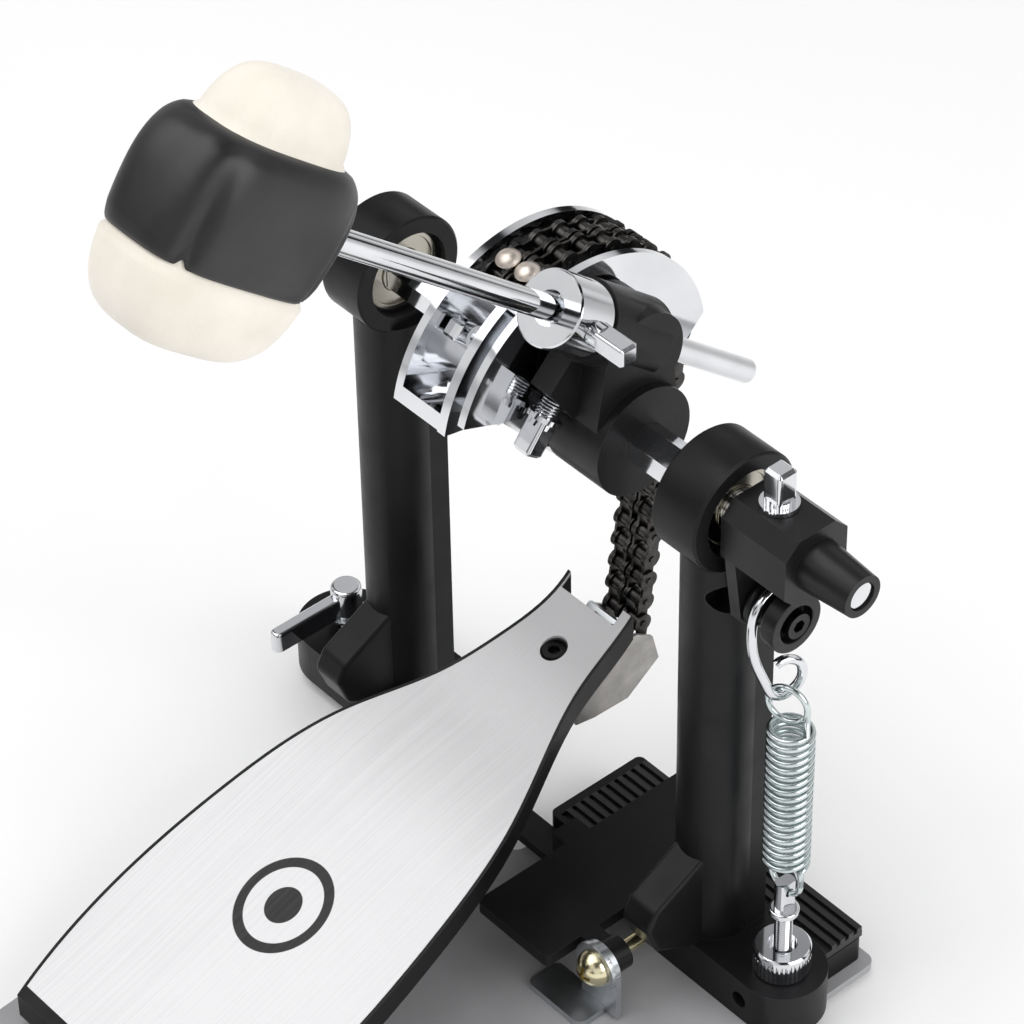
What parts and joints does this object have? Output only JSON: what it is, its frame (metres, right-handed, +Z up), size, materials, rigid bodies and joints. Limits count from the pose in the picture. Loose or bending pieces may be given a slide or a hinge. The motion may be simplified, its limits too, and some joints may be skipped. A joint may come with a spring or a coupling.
{
  "type": "bass drum pedal",
  "caption": "Single bass drum pedal: chain-driven cam, swinging beater with felt faces, tension spring, hinged footboard and hoop clamp.",
  "frame": {"origin": "on the floor, under the middle of the drive shaft", "axes": "+X along the shaft to the spring side, +Y towards the drum, +Z up"},
  "size_m": [0.265, 0.3374, 0.3919],
  "materials": {
    "base_grey": "satin grey paint",
    "black_cast": "black crackle-free powder coat",
    "rubber_black": "matt moulded rubber",
    "bright_zinc": "bright zinc",
    "bearing_steel": "ground bearing steel",
    "cage_brass": "pressed cage",
    "chrome": "polished chrome",
    "chain_dark": "dark oiled steel",
    "rivet_nickel": "nickel",
    "black_plastic": "moulded black",
    "felt": "cream hard felt",
    "black_steel": "black oxide",
    "spring_zinc": "zinc-plated spring wire",
    "yellow_zinc": "yellow zinc",
    "brushed_alu": "brushed along its length",
    "grey_cast": "plain cast"
  },
  "bodies": {
    "frame": {"base_plate": "base_grey", "base_feet": "rubber_black", "plate_screws": "bright_zinc", "left_post": "black_cast", "right_post": "black_cast", "hoop_pad": "rubber_black", "bearing_outer_rings": "bearing_steel", "bearing_shields": "bearing_steel", "heel_plate": "black_cast", "heel_hinge_pin": "bright_zinc", "pivot_bracket": "bright_zinc", "pivot_screw": "yellow_zinc", "pivot_washer": "bright_zinc", "eyebolt": "chrome"},
    "shaft": {"hex_shaft": "chrome", "bearing_inner_rings": "bearing_steel", "retaining_ring": "black_steel", "cam_wheel": "chrome", "cam_clamp_bolt": "chrome", "chain_on_cam": "chain_dark", "chain_rivets": "rivet_nickel", "beater_hub": "black_cast", "hub_clamp_bolt": "chrome", "rod_bushing": "chrome", "rod_lock_screw": "chrome", "rocker_arm": "black_plastic", "rocker_clamp_bolt": "chrome", "roller_screw": "black_steel"},
    "footboard": {"footboard": "black_cast", "footboard_plate": "brushed_alu", "toe_bracket": "grey_cast", "connector_block": "bright_zinc", "bracket_screw": "black_steel"},
    "cages": {"bearing_balls": "bearing_steel", "bearing_cages": "cage_brass"},
    "rod": {"beater_rod": "chrome"},
    "head": {"beater_core": "felt", "beater_band": "rubber_black"},
    "roller": {"spring_roller": "black_plastic"},
    "spring": {"spring": "spring_zinc"},
    "stirrup": {"stirrup": "chrome"},
    "thumb_nut": {"thumb_nut": "chrome"},
    "clamp_washer": {"clamp_washer": "bright_zinc"},
    "clamp_handle": {"clamp_handle": "chrome"},
    "clamp_lever": {"clamp_lever": "black_cast"},
    "chain_upper_pair": {"chain_link_4": "chain_dark", "chain_link_3": "chain_dark"},
    "chain_lower_pair": {"chain_link_2": "chain_dark", "chain_link_1": "chain_dark"},
    "chain_run": {"chain_run": "chain_dark"}
  },
  "joints": [
    {"name": "beater_swing", "type": "hinge", "parent": "frame", "child": "shaft", "pos_m": [0, 0, 0.2], "axis": [-1, 0, 0], "range_deg": [0, 42]},
    {"name": "footboard_press", "type": "hinge", "parent": "frame", "child": "footboard", "pos_m": [0, -0.197, 0.0125], "axis": [-1, 0, 0], "range_deg": [0, 8.91]},
    {"name": "cage_orbit", "type": "hinge", "parent": "frame", "child": "cages", "pos_m": [0, 0, 0.2], "axis": [-1, 0, 0], "range_deg": [0, 15.83]},
    {"name": "chain_upper_pair_unroll", "type": "hinge", "parent": "shaft", "child": "chain_upper_pair", "pos_m": [0, 0.0388, 0.2286], "axis": [1, 0, 0], "range_deg": [0, 12.29]},
    {"name": "chain_lower_pair_unroll", "type": "hinge", "parent": "chain_upper_pair", "child": "chain_lower_pair", "pos_m": [0, 0.04646, 0.21284], "axis": [1, 0, 0], "range_deg": [0, 20.96]},
    {"name": "chain_run_unroll", "type": "hinge", "parent": "chain_lower_pair", "child": "chain_run", "pos_m": [0, 0.04798, 0.19538], "axis": [1, 0, 0], "range_deg": [0, 12.99]},
    {"name": "rod_slide", "type": "slide", "parent": "shaft", "child": "rod", "axis": [0, -0.7673, 0.6413], "range_m": [-0.02, 0.02]},
    {"name": "head_turn", "type": "hinge", "parent": "rod", "child": "head", "pos_m": [0.0277, 0.0174, 0.2209], "axis": [0, -0.7673, 0.6413], "continuous": true},
    {"name": "roller_spin", "type": "hinge", "parent": "shaft", "child": "roller", "pos_m": [0, 0, 0.171], "axis": [1, 0, 0], "continuous": true},
    {"name": "spring_swing", "type": "hinge", "parent": "frame", "child": "spring", "pos_m": [0.11, 0, 0.057], "axis": [1, 0, 0], "range_deg": [0, 9.09]},
    {"name": "spring_stretch", "type": "slide", "parent": "spring", "child": "stirrup", "axis": [0, 0, 1], "range_m": [0, 0.009], "deforming": ["spring"]},
    {"name": "thumb_nut_turn", "type": "hinge", "parent": "frame", "child": "thumb_nut", "pos_m": [0.11, 0, 0.022], "axis": [0, 0, 1], "continuous": true},
    {"name": "clamp_feed", "type": "slide", "parent": "frame", "child": "clamp_washer", "axis": [0, 0, 1], "range_m": [-0.00401, 0]},
    {"name": "clamp_handle_turn", "type": "hinge", "parent": "clamp_washer", "child": "clamp_handle", "pos_m": [-0.11, 0, 0.022], "axis": [0, 0, 1], "range_deg": [-160, 0]},
    {"name": "clamp_press", "type": "hinge", "parent": "frame", "child": "clamp_lever", "pos_m": [0.0726, -0.04, 0.025], "axis": [0, -1, 0], "range_deg": [0, 1.26]}
  ],
  "couplings": [
    {"joint": "footboard_press", "follows": "beater_swing", "ratio": 0.21195},
    {"joint": "cage_orbit", "follows": "beater_swing", "ratio": 0.37656},
    {"joint": "chain_upper_pair_unroll", "follows": "beater_swing", "ratio": 0.29247},
    {"joint": "chain_lower_pair_unroll", "follows": "beater_swing", "ratio": 0.49882},
    {"joint": "chain_run_unroll", "follows": "beater_swing", "ratio": 0.30893},
    {"joint": "spring_swing", "follows": "beater_swing", "ratio": 0.21614},
    {"joint": "spring_stretch", "follows": "beater_swing", "m_per_rad": 0.012263},
    {"joint": "clamp_feed", "follows": "clamp_handle_turn", "m_per_rad": 0.0014324},
    {"joint": "clamp_press", "follows": "clamp_handle_turn", "ratio": -0.007875}
  ]
}
